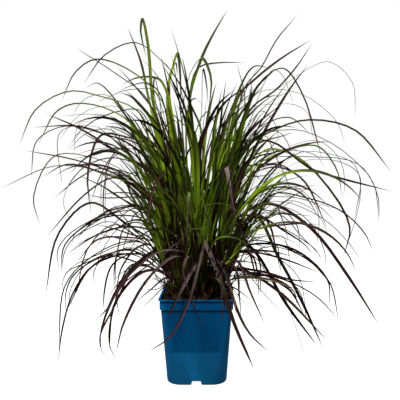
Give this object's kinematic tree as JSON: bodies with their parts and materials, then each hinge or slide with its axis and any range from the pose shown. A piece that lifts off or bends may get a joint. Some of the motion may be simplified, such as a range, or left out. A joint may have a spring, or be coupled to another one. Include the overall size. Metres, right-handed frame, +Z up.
{
  "type": "potted fountain grass clump",
  "caption": "Arching clump of green and purple fountain grass in a square tapered plastic pot, standing on its flat foot.",
  "frame": {"origin": "middle of the pot's foot, on the surface it stands on, which is also the bottom centre of the whole plant", "axes": "+Z up; -Y is the front, the side the picture shows; +X is to the right seen from the front; X and Y are square to the pot's sides"},
  "size_m": [0.9004, 0.8384, 0.8378],
  "materials": {
    "pot": "semi-gloss blue injection-moulded plastic",
    "soil": "dark, loose, damp potting mix",
    "crown": "dry, fibrous old stem bases",
    "green_blades": "satin living leaf",
    "purple_blades": "satin living leaf, dark purple",
    "mauve_blades": "satin living leaf, greyed purple"
  },
  "bodies": {
    "root": {"pot": "pot", "soil": "soil", "crown": "crown", "shoot_01": "green_blades", "shoot_02": "green_blades", "shoot_03": "green_blades", "shoot_04": "purple_blades", "shoot_05": "purple_blades", "shoot_06": "green_blades", "shoot_07": "green_blades", "shoot_08": "purple_blades", "shoot_09": "purple_blades", "shoot_10": "green_blades", "shoot_11": "purple_blades", "shoot_12": "purple_blades", "shoot_13": "purple_blades", "shoot_14": "purple_blades", "shoot_15": "mauve_blades", "shoot_16": "mauve_blades", "shoot_17": "green_blades", "shoot_18": "purple_blades", "shoot_19": "purple_blades", "shoot_20": "green_blades", "shoot_21": "purple_blades", "shoot_22": "green_blades", "shoot_23": "purple_blades", "shoot_24": "purple_blades", "shoot_25": "purple_blades", "shoot_26": "purple_blades", "shoot_27": "purple_blades", "shoot_28": "mauve_blades", "shoot_29": "purple_blades", "shoot_30": "green_blades", "shoot_31": "green_blades", "shoot_32": "green_blades", "shoot_33": "green_blades", "shoot_34": "green_blades", "shoot_35": "green_blades", "shoot_36": "green_blades", "shoot_37": "green_blades", "shoot_38": "green_blades", "shoot_39": "green_blades", "shoot_40": "green_blades", "shoot_41": "green_blades", "shoot_42": "green_blades", "shoot_43": "green_blades", "shoot_44": "green_blades", "shoot_45": "green_blades", "shoot_46": "green_blades", "shoot_47": "green_blades", "shoot_48": "green_blades"}
  },
  "joints": []
}
